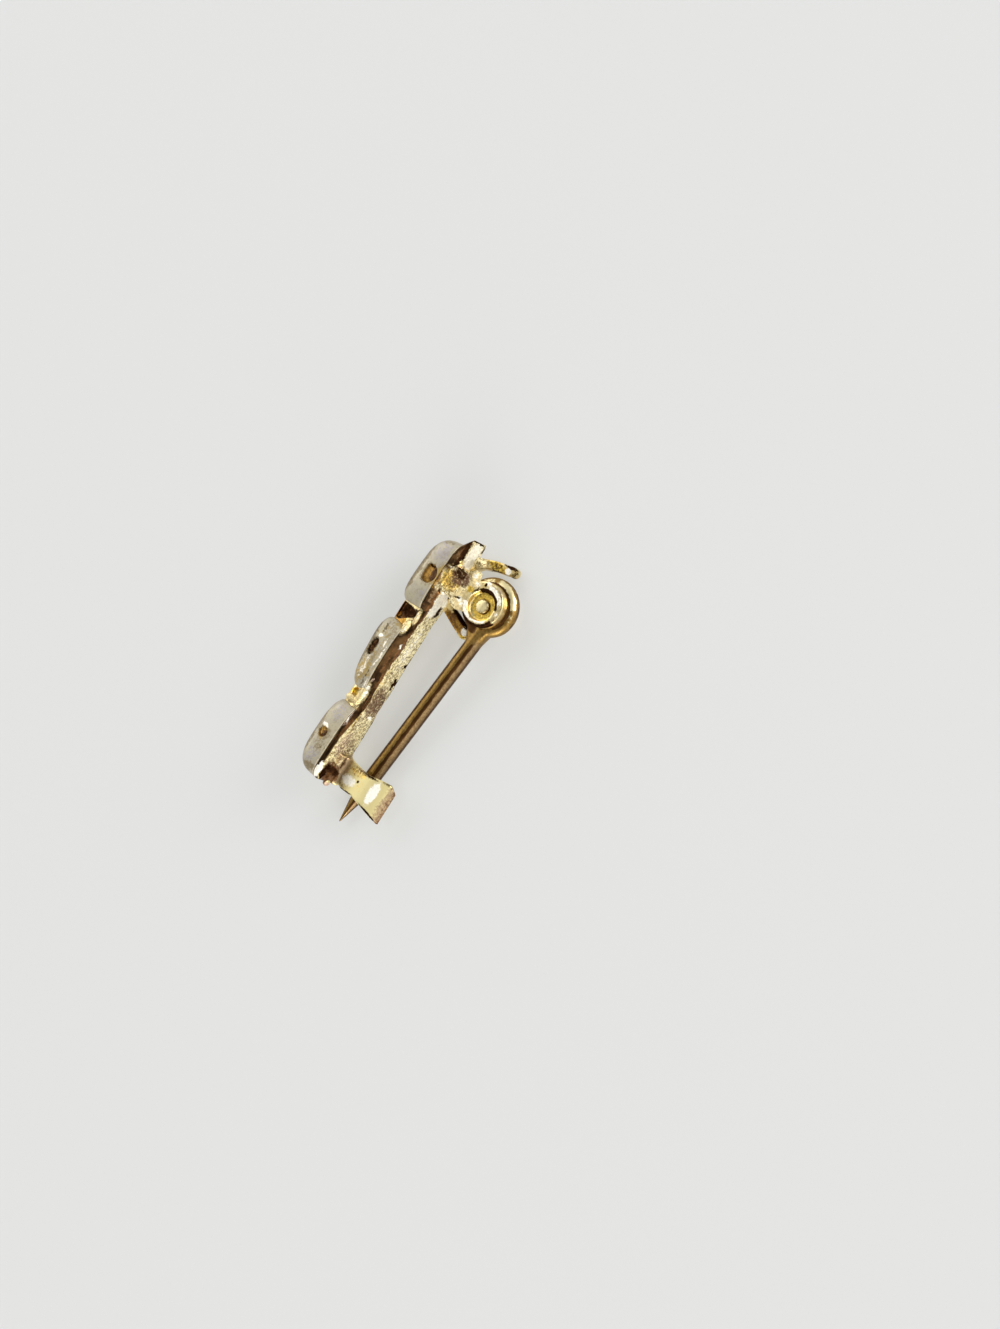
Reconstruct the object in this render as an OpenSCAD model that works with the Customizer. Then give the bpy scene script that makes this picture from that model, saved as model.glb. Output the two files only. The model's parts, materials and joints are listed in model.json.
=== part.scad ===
// Small two-tone bar pin, lying on its long side.
// X runs along the bar from the joint to the catch, Y from the front to the back, Z is up.
// Every module draws in bar coordinates: x from the middle of the bar, y from the back
// face of the rail, z from the centre plane. placed() moves that to the final frame.

/* [Bar] */
// Length of the front bar
bar_length = 17.7; // [16:0.1:20]
// Width of the bar across its lobes
bar_width = 3.0; // [2.8:0.1:3.6]
// Thickness of the gold rail behind the middle lobe
rail_thick = 0.6; // [0.55:0.01:0.65]
// How much further the rail reaches than the lobes at the hinge end
hinge_end_ledge = 0.27; // [0.1:0.01:0.35]
// Height of the hinge lobe's crest in front of the rail's back
hinge_crest = 2.24; // [2.1:0.01:2.5]
// Height of the middle lobe's crest
middle_crest = 2.34; // [2.1:0.01:2.5]
// Height of the catch lobe's crest
catch_crest = 2.3; // [2.1:0.01:2.5]
// Squareness of a lobe's crown from side to side, 2 is an oval
crown_square = 3.8; // [2.4:0.1:5]
// Width of the gold core that joins the lobes
core_width = 1.9; // [1.7:0.05:2.2]
// Height of the core inside the lobes, in front of the rail's back
core_rise = 1.9; // [1.5:0.05:1.95]
// Height of the neck beside the hinge lobe
hinge_neck_rise = 2.1; // [1.9:0.05:2.2]
// Height of the neck beside the catch lobe
catch_neck_rise = 1.95; // [1.9:0.05:2.2]
// Gap between a white lobe and the gold below it
seat_gap = 0.02; // [0.01:0.01:0.05]

/* [Rail back] */
// Width of the back face at the hinge end
back_end_width = 1.9; // [1.6:0.05:2.4]
// Width of the back face along the middle
back_mid_width = 1.75; // [1.4:0.05:2]
// Width of the back face at the catch end
back_catch_width = 2.55; // [2:0.05:2.75]

/* [Side holes] */
// Depth of the large pit in the neck beside the hinge lobe
hinge_pit_depth = 0.8; // [0.3:0.05:0.85]
// Depth of the small pit in the neck beside the catch lobe
catch_pit_depth = 0.45; // [0.2:0.05:0.8]
// Half length of the hole in the hinge lobe
window_half = 0.62; // [0.4:0.02:0.8]
// Half length of the slot in the middle lobe
slot_half = 0.55; // [0.4:0.02:0.8]
// Half length of the dimple in the catch lobe
dimple_half = 0.38; // [0.25:0.02:0.5]

/* [Joint] */
// Place of the hinge axis along the bar
hinge_x = -5.97; // [-6.2:0.01:-5.8]
// Height of the hinge axis over the rail's back
hinge_rise = 3.2; // [3.1:0.05:3.6]
// Space between the two ears
ear_gap = 1.2; // [1.16:0.02:1.3]
// Radius of the upper ear
upper_ear_r = 1.44; // [1.3:0.02:1.5]
// Thickness of the upper ear
upper_ear_thick = 0.7; // [0.55:0.05:0.85]
// How far the upper ear and the eye lie off the hinge axis, towards the end of the bar
ring_shift = 0.13; // [0:0.01:0.2]
// Radius of the cup in the upper ear's outer face
upper_cup_r = 0.92; // [0.7:0.02:1]
// Radius of the lower ear, which the pin rests on
lower_ear_r = 1.1; // [0.9:0.02:1.2]
// Radius of the cup in the lower ear's outer face
lower_cup_r = 0.62; // [0.55:0.02:0.7]
// Depth of both cups
cup_depth = 0.35; // [0.2:0.05:0.4]
// Half width of the ears' feet
foot_half = 0.8; // [0.7:0.05:0.9]
// How far the feet lie off the hinge axis, towards the end of the bar
foot_shift = 0.3; // [0.2:0.01:0.35]
// Thickness of the plate under the joint
plate_thick = 0.42; // [0.3:0.02:0.6]
// Width of the strap whose ends turn up as prongs
strap_width = 0.9; // [0.8:0.05:1]
// Thickness of the prongs
prong_thick = 0.62; // [0.5:0.02:0.64]
// How far the prongs lie below the centre plane
prong_drop = 0.75; // [0.6:0.05:0.85]
// Height of the prong outside the joint
outer_prong_rise = 2.85; // [2.6:0.05:3]
// Height of the prong under the stem
inner_prong_rise = 2.35; // [2.2:0.05:2.4]

/* [Rivet] */
// Radius of the rivet's shaft
rivet_r = 0.38; // [0.3:0.01:0.4]
// Radius of its peened heads
rivet_head_r = 0.45; // [0.43:0.01:0.6]

/* [Stem] */
// Outer radius of the eye on the stem
eye_r = 1.86; // [1.6:0.02:1.88]
// Thickness of the eye
eye_thick = 1.0; // [0.9:0.02:1.04]
// Running clearance round the rivet
eye_clearance = 0.06; // [0.02:0.01:0.08]
// Diameter of the wire
wire_d = 1.05; // [0.9:0.01:1.06]
// How far behind the eye's centre the wire leaves it
wire_offset = 0.58; // [0.5:0.02:0.66]
// Angle at which the wire closes towards the bar
close_angle = 7.2; // [6.6:0.1:7.4]
// Angle at which the wire leans down into the catch's mouth
lean_angle = 4.0; // [3.8:0.1:4.6]
// Distance from the hinge axis to the tip, along the bar
stem_reach = 16.47; // [16:0.01:17]
// Length of the sharpened point
point_length = 3.2; // [2:0.1:4]

/* [Catch] */
// Where the catch starts along the bar
catch_start = 6.7; // [6.5:0.05:6.9]
// Length of the catch at its foot
catch_foot_length = 1.9; // [1.6:0.05:1.95]
// Length of the catch at its waist
catch_waist_length = 1.76; // [1.4:0.02:1.9]
// Length of the catch at its lip
catch_lip_length = 2.5; // [2:0.05:2.6]
// How far the catch reaches over the rail's back
catch_reach = 4.54; // [4.3:0.02:4.6]
// Thickness of the sheet
sheet = 0.3; // [0.2:0.02:0.34]
// How far the middle of the lip comes down past the centre plane
lip_drop = 0.04; // [0:0.01:0.06]

/* [Hidden] */
$fn = 48;
LOBE_NODES = ["lobe_hinge_end", "lobe_middle", "lobe_catch_end"];

half_width = bar_width / 2;
half_length = bar_length / 2;
pitch = bar_length / len(LOBE_NODES);
rail_inset = 0.05;
core_half = core_width / 2;
core_low = 1.4 - half_length;
core_high = half_length - 0.75;
core_power = 2.5;
cut = 0.1;

core_seat = 0.2;
rail_low = -half_length - hinge_end_ledge;
eye_back_y = hinge_rise + eye_r;
tip_x = hinge_x + stem_reach;

lower_ear_thick = half_width - ear_gap / 2;
ear_bore_r = rivet_r + 0.01;
tip_r = 0.04;
strap_foot = 1.5;
crests = [hinge_crest, middle_crest, catch_crest];

yellow = [0.80, 0.62, 0.28];
white_metal = [0.84, 0.83, 0.78];
bronze = [0.60, 0.46, 0.22];

outline_points = 40;
crown_steps = [0, 12, 24, 36, 48, 58, 68, 77, 84];
rail_steps = 96;

// Columns: x along the bar, half width of the back face there
back_halves = [
    [-6.9, back_end_width / 2],
    [-4.4, back_mid_width / 2 - 0.1],
    [-3, back_mid_width / 2],
    [4, back_mid_width / 2 + 0.05],
    [5.8, back_catch_width / 2]
];

// Columns: x along the bar, height of the back face there
back_heights = [[-6, 0.18], [-4.2, 0.1], [-3, 0], [0, -0.06], [3, 0.02], [4.2, 0], [5.8, -0.16]];

// Columns: x along the bar, depth of the rail's front face there
front_depths = [[-8.85, 0.27], [-3.2, 0.44], [-2.6, rail_thick], [3, rail_thick], [3.4, 0.46], [8.85, 0.58]];

// For each lobe's low and high side: reach from its middle, squareness of the crown's
// profile, squareness of the outline
lobe_ends = [
    [[2.5, 3.1, 4.4], [2.5, 5, 3.2]],
    [[2.37, 4.9, 3.4], [2.85, 4.2, 3]],
    [[2.35, 4.4, 2.8], [2.94, 3, 4.8]]
];

// How much each crest rises along the bar, for each mm
crest_leans = [0.035, -0.04, 0.015];

// Columns: x where a neck starts and ends, height in front of the rail's back
necks = [[-3.66, -2.2, hinge_neck_rise], [2.55, 3.85, catch_neck_rise]];

// Outline of the large pit: x along the bar, height in front of the rail's back
hinge_pit = [
    [-3.49, 1.95], [-2.37, 1.95], [-2.39, 1.5], [-2.6, 1.12], [-2.86, 0.7], [-3.0, 0.52],
    [-3.16, 0.46], [-3.34, 0.58], [-3.46, 0.95], [-3.5, 1.5]
];

// The small pit: x, height in front of the rail's back, radius
catch_pit = [2.97, 1.24, 0.3];

// Columns: distance from the lobe's middle, height in front of the rail's back, half
// length, half height, squareness
side_holes = [
    [0.07, 0.92, window_half, 0.48, 2.6],
    [-0.1, 1.62, slot_half, 0.30, 2.0],
    [0.2, 1.40, dimple_half, 0.34, 2.0]
];

// Columns: distance from the hinge axis along the bar, height over the rail's back
outer_prong = [[-strap_foot, 0.2], [-2.08, 0.75], [-2.43, 1.75], [-2.68, outer_prong_rise]];
inner_prong = [[strap_foot - 0.2, 0.2], [1.55, 0.7], [1.88, 1.5], [2.2, inner_prong_rise]];

// The catch's two edges: height over the rail's back, place along the bar
catch_ends = [
    [-0.6, catch_start + catch_foot_length], [1, catch_start + catch_foot_length - 0.02],
    [2.3, catch_start + catch_waist_length], [3.3, catch_start + catch_waist_length + 0.18],
    [4.8, catch_start + catch_lip_length - 0.12]
];
catch_starts = [
    [4.8, catch_start - 0.1], [4.45, catch_start - 0.22], [4.05, catch_start - 0.25],
    [3.5, catch_start - 0.18], [2.6, catch_start + 0.03], [1, catch_start + 0.02], [-0.6, catch_start]
];

// Columns: height over the rail's back, distance from the centre plane
catch_pull = [[-0.3, -1.3], [1.0, 0.35], [3.4, 1.2], [catch_reach, -lip_drop]];

// One coordinate of a rounded outline: value is the sine or cosine
function rounded(value, power) = sign(value) * pow(abs(value), 2 / power);

// Point of the smooth curve that four points pull
function curve_point(pull, t) =
    pow(1 - t, 3) * pull[0] + 3 * t * pow(1 - t, 2) * pull[1]
        + 3 * pow(t, 2) * (1 - t) * pull[2] + pow(t, 3) * pull[3];

// Whether one side of a lobe's middle faces an end of the bar and not a neck
function faces_end(index, s) = (index == 0 && s == 0) || (index == len(LOBE_NODES) - 1 && s == 1);

function lobe_x(index) = (index - (len(LOBE_NODES) - 1) / 2) * pitch;

// Nearest lobe to a place along the bar
function lobe_at(x) = min(len(LOBE_NODES) - 1, max(0, floor((x + half_length) / pitch)));

// Depth of the rail's front face, which the lobes sit on
function seat_at(x) = lookup(x, front_depths);

// Half length of a lobe on one side, where its crown has risen by a share of its height
function lobe_reach(index, s, level) =
    let (end = lobe_ends[index][s])
    end[0] * pow(1 - pow(level, end[1]), 1 / end[1]);

// Point of a lobe's skin at a distance from its middle and a share of its height
function lobe_point(index, dx, z, level) =
    let (x = lobe_x(index) + dx, seat = seat_at(x) + seat_gap, lean = 1 + crest_leans[index] * dx)
    [x, -seat - level * (crests[index] - seat) * lean, z];

// All points of a lobe's skin, ring by ring up to its crest
function lobe_points(index) = concat(
    [for (step = crown_steps)
        let (
            crown = rounded(cos(step), crown_square),
            level = rounded(sin(step), crown_square),
            reach = [for (s = [0, 1]) lobe_reach(index, s, level)],
            power = [for (s = [0, 1]) lobe_ends[index][s][2]]
        )
        for (p = oval(reach, half_width * crown, power, outline_points))
            lobe_point(index, p[0], p[1], level)],
    [lobe_point(index, 0, 0, 1)]
);

// The foremost point of the three lobes
function front_y() = min([for (index = [0 : len(LOBE_NODES) - 1]) for (p = lobe_points(index)) p[1]]);

place = [-(tip_x + rail_low) / 2, -(front_y() + eye_back_y) / 2, half_width];

// Half width of the rail's outline at a distance from a lobe's middle
function rail_side(index, dx) =
    let (
        s = dx < 0 ? 0 : 1,
        ledge = index == 0 ? hinge_end_ledge : 0,
        reach = faces_end(index, s) ? pitch / 2 + ledge : lobe_ends[index][s][0] + cut,
        t = min(1, abs(dx) / reach),
        power = lobe_ends[index][s][2]
    )
    half_width * pow(1 - pow(t, power), 1 / power);

// Half width of the rail where it meets the lobes
function rail_front(x) =
    let (index = lobe_at(x))
    max(core_half - cut, rail_side(index, x - lobe_x(index)) - rail_inset);

// Half width of the rail's back face
function rail_back(x) = min(lookup(x, back_halves), rail_front(x) - rail_inset / 2);

// How much shorter the rail's front face is than its back at the hinge end
function end_lean(x) = max(0, -7.4 - x) * 0.34;

// Closed outline of squared ovals, with a reach and a power for each side of its middle
function oval(reach, half_y, power, count) = [
    for (k = [0 : count - 1])
        let (a = 360 * (k + 0.5) / count, s = cos(a) < 0 ? 0 : 1)
        [reach[s] * rounded(cos(a), power[s]), half_y * rounded(sin(a), power[s])]
];

// Skin over a stack of rings that have the same number of points
function ring_faces(rings, count, apex = false) = concat(
    [[for (k = [0 : count - 1]) k]],
    [for (r = [0 : rings - 2], k = [0 : count - 1])
        [r * count + k, (r + 1) * count + k, (r + 1) * count + (k + 1) % count]],
    [for (r = [0 : rings - 2], k = [0 : count - 1])
        [r * count + k, (r + 1) * count + (k + 1) % count, r * count + (k + 1) % count]],
    apex
        ? [for (k = [0 : count - 1])
            [(rings - 1) * count + (k + 1) % count, (rings - 1) * count + k, rings * count]]
        : [[for (k = [count - 1 : -1 : 0]) (rings - 1) * count + k]]
);

// Unit normal of a path at one of its points
function path_normal(path, k) =
    let (a = path[max(0, k - 1)], b = path[min(len(path) - 1, k + 1)], d = b - a)
    [-d[1], d[0]] / norm(d);

// Outline of a strip of even thickness along a path
function strip(path, thick) = concat(
    [for (k = [0 : len(path) - 1]) path[k] + path_normal(path, k) * thick / 2],
    [for (k = [len(path) - 1 : -1 : 0]) path[k] - path_normal(path, k) * thick / 2]
);

module placed() {
    translate(place) children();
}

// The gold rail, scalloped like the lobes, with walls that lean in to a narrower back
module rail() {
    middle = (rail_low + half_length) / 2;
    reach = (half_length - rail_low) / 2;
    stations = [for (k = [0 : rail_steps]) middle - reach * cos(180 * k / rail_steps)];
    bend = 0.55;
    bulge = 0.03;
    points = [
        for (x = stations)
            let (
                f = rail_front(x),
                b = rail_back(x),
                m = b + (f - b) * bend + bulge,
                back = [x, lookup(x, back_heights)],
                front = [x + end_lean(x), -seat_at(x)],
                mid = back + (front - back) * bend
            )
            each [
                [front[0], front[1], -f], [mid[0], mid[1], -m], [back[0], back[1], -b],
                [back[0], back[1], b], [mid[0], mid[1], m], [front[0], front[1], f]
            ]
    ];
    polyhedron(points, ring_faces(len(stations), 6));
}

// Bar of gold with a rounded front, from a depth inside the rail to a height in front
module rounded_bar(low, high, depth, height, grow = 0) {
    half = [
        for (k = [0 : 14])
            let (a = 180 * k / 14)
            [
                -depth - (height - depth + grow) * rounded(sin(a), core_power),
                (core_half + grow) * rounded(cos(a), core_power)
            ]
    ];
    translate([low - grow, 0, 0]) rotate([90, 0, 90])
        linear_extrude(high - low + 2 * grow) polygon(half);
}

// The core inside the lobes and the necks that show between them
module core(grow = 0) {
    rounded_bar(core_low, core_high, core_seat, core_rise, grow);
    for (n = necks) rounded_bar(n[0], n[1], core_seat + 0.02, n[2], grow);
}

// Blind pits in the necks, one from each side
module pits() {
    for (side = [0, 1]) mirror([0, 0, side]) {
        translate([0, 0, core_half - hinge_pit_depth])
            linear_extrude(half_width) polygon([for (p = hinge_pit) [p[0], -p[1]]]);
        translate([catch_pit[0], -catch_pit[1], core_half - catch_pit_depth])
            cylinder(r = catch_pit[2], h = half_width);
    }
}

// One ear of the joint, from its inner face outwards, with its ring off the axis
module ear(r, thick, cup_r, shift) {
    neck_angle = 40;
    edge = [r * cos(neck_angle), -r * sin(neck_angle)];
    foot_y = -hinge_rise - cut;
    difference() {
        linear_extrude(thick) {
            translate([-shift, 0]) circle(r);
            polygon([
                [-foot_shift - foot_half, foot_y], [-foot_shift + foot_half, foot_y],
                [edge[0] - shift, edge[1]], [-edge[0] - shift, edge[1]]
            ]);
        }
        translate([0, 0, -cut]) cylinder(r = ear_bore_r, h = thick + 2 * cut);
        translate([0, 0, thick - cup_depth]) cylinder(r = cup_r, h = cup_depth + cut);
    }
}

module ears() {
    translate([hinge_x, hinge_rise, ear_gap / 2])
        ear(upper_ear_r, upper_ear_thick, upper_cup_r, ring_shift);
    translate([hinge_x, hinge_rise, -ear_gap / 2]) mirror([0, 0, 1])
        ear(lower_ear_r, lower_ear_thick, lower_cup_r, 0);
}

// The plate that carries the ears, and the solder that ties it to the rail's walls
module joint_plate() {
    plate_half = foot_half + cut;
    plate_low = 2 * rail_inset - half_width;
    plate_high = ear_gap / 2 + upper_ear_thick;
    plate_square = 5;
    web_length = 1.2;
    web_half = half_width - rail_inset / 2;
    web_depth = seat_at(hinge_x - foot_shift - web_length / 2) - rail_inset;
    translate([hinge_x - foot_shift, plate_thick, (plate_low + plate_high) / 2]) rotate([90, 0, 0])
        linear_extrude(plate_thick + cut) polygon(oval(
            [plate_half, plate_half], (plate_high - plate_low) / 2, [plate_square, plate_square], 24
        ));
    translate([hinge_x - foot_shift - web_length / 2, -web_depth, -web_half])
        cube([web_length, web_depth + 2 * cut, 2 * web_half]);
}

// The strap along the rail whose ends turn up on both sides of the joint
module prongs() {
    translate([hinge_x, 0, -prong_drop]) linear_extrude(strap_width, center = true) {
        translate([-strap_foot, -cut]) square([2 * strap_foot - 0.2, plate_thick]);
        for (path = [outer_prong, inner_prong]) {
            polygon(strip(path, prong_thick));
            translate(path[len(path) - 1]) circle(prong_thick / 2 + 0.02);
        }
    }
}

// Lumps of solder round the foot of the joint
module joint_solder() {
    // Columns: distance from the hinge axis, height, distance from the centre plane, radius
    lumps = [[-1.15, 0.15, 0.75, 0.4], [-1.1, 0.15, -0.8, 0.42], [0.5, 0.15, 0.8, 0.36], [0.55, 0.15, -0.85, 0.36]];
    for (l = lumps) translate([hinge_x + l[0], l[1], l[2]]) sphere(l[3]);
}

// Curled sheet that hooks over the stem, open towards the surface it lies on
module catch_sheet() {
    steps = 24;
    path = [for (k = [0 : steps]) curve_point(catch_pull, k / steps)];
    intersection() {
        translate([catch_start - 5 * cut, 0, 0]) rotate([90, 0, 90])
            linear_extrude(catch_lip_length + 8 * cut) polygon(strip(path, sheet));
        linear_extrude(2 * bar_width, center = true)
            polygon([for (p = concat(catch_ends, catch_starts)) [p[1], p[0]]]);
    }
}

// Solder that fills the corner between the catch's foot and the rail
module catch_solder() {
    fillet = [
        [-3 * cut, 0.3], [0, 0.28], [0.12, 0.05], [0.26, -0.18], [0.5, -0.38], [0.3, -0.85], [-3 * cut, -0.95]
    ];
    translate([catch_start + 0.05, 0, 0]) rotate([90, 0, 90])
        linear_extrude(catch_foot_length + 0.1) polygon(fillet);
}

// Everything that is soldered into one piece of yellow gold
module gold_frame() {
    color(yellow) placed() {
        difference() {
            union() {
                rail();
                core();
            }
            pits();
        }
        joint_plate();
        ears();
        prongs();
        joint_solder();
        catch_sheet();
        catch_solder();
    }
}

// White lobe with a seat for the gold core and a hole in each side wall
module lobe(index) {
    hole = side_holes[index];
    color(white_metal) placed() difference() {
        polyhedron(lobe_points(index), ring_faces(len(crown_steps), outline_points, true));
        core(seat_gap);
        translate([lobe_x(index) + hole[0], -hole[1], 0])
            linear_extrude(2 * bar_width, center = true)
                polygon(oval([hole[2], hole[2]], hole[3], [hole[4], hole[4]], 16));
    }
}

// Rivet with a domed, peened head in each cup
module rivet() {
    head = 0.14;
    dome = 0.1;
    arc = [for (a = [0 : 15 : 90]) [rivet_head_r * cos(a), head + dome * sin(a)]];
    end = concat([[rivet_r, 0], [rivet_head_r, 0]], arc);
    upper_seat = ear_gap / 2 + upper_ear_thick - cup_depth + 0.01;
    lower_seat = half_width - cup_depth + 0.01;
    upper = [for (p = end) [p[0], upper_seat + p[1]]];
    lower = [for (k = [len(end) - 1 : -1 : 0]) [end[k][0], -lower_seat - end[k][1]]];
    color(bronze) placed() translate([hinge_x, hinge_rise, 0])
        rotate_extrude() polygon(concat(lower, upper));
}

// Stem: a flat eye on the rivet, a round wire that leaves behind it, and a point
module pin_stem() {
    r = wire_d / 2;
    slope = tan(close_angle);
    lean = tan(lean_angle);
    level_x = 1.7;
    start_x = 1.2;
    neck_x = 2.3;
    run = [1, -slope, -lean];
    middle = [0, wire_offset, level_x * lean];
    length = (stem_reach - start_x) * norm(run);
    rim = eye_thick / 2;
    color(bronze) placed() translate([hinge_x, hinge_rise, 0]) difference() {
        union() {
            translate([-ring_shift, 0, 0]) rotate_extrude() {
                translate([0, -rim]) square([eye_r - rim, eye_thick]);
                translate([eye_r - rim, 0]) intersection() {
                    circle(rim);
                    translate([0, -rim]) square([rim, eye_thick]);
                }
            }
            hull() {
                cylinder(r = 1.2, h = eye_thick - 0.12, center = true, $fn = 32);
                translate(middle + neck_x * run) sphere(r - 0.03, $fn = 32);
            }
            translate(middle + start_x * run)
                rotate([0, acos(run[2] / norm(run)), atan2(run[1], run[0])])
                    rotate_extrude() polygon([
                        [0, 0], [r, 0], [r, length - point_length], [0.66 * r, length - point_length / 2],
                        [tip_r, length], [0, length]
                    ]);
        }
        cylinder(r = rivet_r + eye_clearance, h = 2 * eye_thick, center = true);
    }
}

gold_frame();
for (index = [0 : len(LOBE_NODES) - 1])
    lobe(index);
rivet();
pin_stem();
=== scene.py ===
import bpy
import bmesh
import json
import math
import numpy as np
from mathutils import Matrix, Vector, noise


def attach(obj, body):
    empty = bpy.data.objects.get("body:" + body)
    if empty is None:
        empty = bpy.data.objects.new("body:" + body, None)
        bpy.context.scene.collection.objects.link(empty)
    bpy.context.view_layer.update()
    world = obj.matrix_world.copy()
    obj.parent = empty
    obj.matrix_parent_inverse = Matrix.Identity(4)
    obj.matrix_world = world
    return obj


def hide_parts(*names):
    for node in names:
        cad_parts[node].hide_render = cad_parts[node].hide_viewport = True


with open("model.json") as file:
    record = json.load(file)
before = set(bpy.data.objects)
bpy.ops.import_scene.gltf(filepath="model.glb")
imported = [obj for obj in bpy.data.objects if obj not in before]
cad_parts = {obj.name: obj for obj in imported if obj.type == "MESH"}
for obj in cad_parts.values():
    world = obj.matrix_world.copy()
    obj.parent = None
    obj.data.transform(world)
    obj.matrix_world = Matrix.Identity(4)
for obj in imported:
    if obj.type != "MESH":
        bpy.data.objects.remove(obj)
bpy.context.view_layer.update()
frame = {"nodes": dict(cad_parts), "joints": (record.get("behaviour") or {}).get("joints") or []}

mm = 0.001

# The bar's own axes: x from its middle, y from the rail's back, z from its centre plane
hingeRise = 3.2  # mm over the rail's back
hingeX = -5.97
hinge = Vector(frame["joints"][0]["pos_m"]) / mm
barMiddle = hinge - Vector((hingeX, hingeRise, 0))

view = {
    "towards": Vector((-0.09, 0.445, 0.89)),
    "barOnPhoto": Vector((0.537, 0.844)),  # right and up, along the bar towards the hinge
    "frameWidth": 62.5,  # mm across the photo at the pin
    "distance": 150.0,
    "middleOnPhoto": Vector((401.2, 664.5)),
    "photoSize": Vector((1000, 1329)),
    "pxPerMm": 16,
    "railOnPhoto": 6.46,  # px from the bar's middle to the line that spots are measured from
}


def viewAxes():
    back = view["towards"].normalized()
    along = Vector((-1, 0, 0))
    along = (along - along.dot(back) * back).normalized()
    across = back.cross(along)
    s, c = view["barOnPhoto"]
    return s * along - c * across, c * along + s * across, back


def viewOffset():
    return (view["photoSize"] / 2 - view["middleOnPhoto"]) * view["frameWidth"] / view["photoSize"].x


def addCamera():
    right, up, back = viewAxes()
    offset = viewOffset()
    aim = barMiddle + right * offset.x - up * offset.y
    data = bpy.data.cameras.new("photoCamera")
    data.sensor_fit = "HORIZONTAL"
    data.angle = 2 * math.atan(view["frameWidth"] / 2 / view["distance"])
    data.clip_start = 1 * mm
    camera = bpy.data.objects.new("photoCamera", data)
    bpy.context.scene.collection.objects.link(camera)
    turn = Matrix((right, up, back)).transposed().to_4x4()
    camera.matrix_world = Matrix.Translation((aim + back * view["distance"]) * mm) @ turn
    bpy.context.scene.camera = camera


addCamera()
print("camera placed")


# Meshes are worked on in millimetres and go to metres when they are finished

weldWithin = 0.0004


def newPiece(name, points=(), faces=()):
    data = bpy.data.meshes.new(name)
    data.from_pydata([tuple(p) for p in points], [], faces)
    piece = bpy.data.objects.new(name, data)
    bpy.context.scene.collection.objects.link(piece)
    return piece


def nodeCopy(node, name):
    piece = newPiece(name)
    work = bmesh.new()
    work.from_mesh(frame["nodes"][node].data)
    bmesh.ops.scale(work, vec=(1 / mm, 1 / mm, 1 / mm), verts=work.verts)
    bmesh.ops.remove_doubles(work, verts=work.verts, dist=weldWithin)
    work.to_mesh(piece.data)
    work.free()
    return piece


def bake(piece):
    graph = bpy.context.evaluated_depsgraph_get()
    data = bpy.data.meshes.new_from_object(piece.evaluated_get(graph))
    piece.modifiers.clear()
    piece.data = data


def joined(pieces):
    first = pieces[0]
    work = bmesh.new()
    for piece in pieces:
        work.from_mesh(piece.data)
    data = bpy.data.meshes.new(first.data.name)
    work.to_mesh(data)
    work.free()
    first.data = data
    for piece in pieces[1:]:
        bpy.data.objects.remove(piece)
    return first


def addSmooth(piece, iterations, group=""):
    smooth = piece.modifiers.new("soften", "SMOOTH")
    smooth.factor = 0.5
    smooth.iterations = iterations
    smooth.vertex_group = group


def fuse(piece, voxel, smoothing):
    remesh = piece.modifiers.new("fuse", "REMESH")
    remesh.mode = "VOXEL"
    remesh.voxel_size = voxel
    remesh.use_smooth_shade = True
    addSmooth(piece, smoothing)
    bake(piece)


def cutBy(piece, cutter):
    cut = piece.modifiers.new("cut", "BOOLEAN")
    cut.operation = "DIFFERENCE"
    cut.solver = "EXACT"
    cut.object = cutter
    bake(piece)
    bpy.data.objects.remove(cutter)


# Faces between rings of points, closed by a face at each end or by a last point
def ringSkin(rings, count, pointed=False):
    faces = [tuple(range(count - 1, -1, -1))]
    for r in range(rings - 1):
        for k in range(count):
            n = (k + 1) % count
            faces.append((r * count + k, r * count + n, (r + 1) * count + n, (r + 1) * count + k))
    last = (rings - 1) * count
    if pointed:
        faces += [(last + k, last + (k + 1) % count, last + count) for k in range(count)]
    else:
        faces.append(tuple(last + k for k in range(count)))
    return faces


def outwards(piece):
    work = bmesh.new()
    work.from_mesh(piece.data)
    bmesh.ops.recalc_face_normals(work, faces=work.faces)
    work.to_mesh(piece.data)
    work.free()
    return piece


def power(value, exponent):
    return math.copysign(abs(value) ** exponent, value)


def rise(values, low, high):
    t = np.clip((values - low) / (high - low), 0, 1)
    return t * t * (3 - 2 * t)


def barPoints(piece):
    count = len(piece.data.vertices)
    at = np.empty(count * 3)
    facing = np.empty(count * 3)
    piece.data.vertices.foreach_get("co", at)
    piece.data.vertex_normals.foreach_get("vector", facing)
    return at.reshape(-1, 3) - np.array(barMiddle), facing.reshape(-1, 3)


def movePoints(piece, at):
    piece.data.vertices.foreach_set("co", (at + np.array(barMiddle)).ravel())
    piece.data.update()


def paint(piece, name, values):
    layer = piece.data.attributes.new(name, "FLOAT", "POINT")
    layer.data.foreach_set("value", np.clip(values, 0, 1).astype(np.float32))


# Along the bar in mm and across it in pixels, as the photo's camera sees them
def onPhoto(at):
    right, up, back = (np.array(axis) for axis in viewAxes())
    offset = viewOffset()
    near = view["distance"] / (view["distance"] - at @ back)
    r = (at @ right - offset.x) * near + offset.x
    u = (at @ up + offset.y) * near - offset.y
    s, c = view["barOnPhoto"]
    return -(s * r + c * u), view["pxPerMm"] * (c * r - s * u) - view["railOnPhoto"]


# Stains, dents, painted shade, painted sheen and painted highlights: shares of their size where they fade,
# the turn from the camera where they end, and how noise moves their edges
marks = {
    "fade": (0.45, 1.4),
    "turned": (-0.1, 0.15),
    "seed": 7,
    # Columns: grains per mm, reach in pixels of the photo
    "wander": [[2.3, 1.3], [6.5, 0.9]],
    "arcWander": 0.03,
    "arcEdge": (0.7, 1.3),
    "arcEnds": 14,  # degrees over which an arc's ends fade
}


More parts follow.
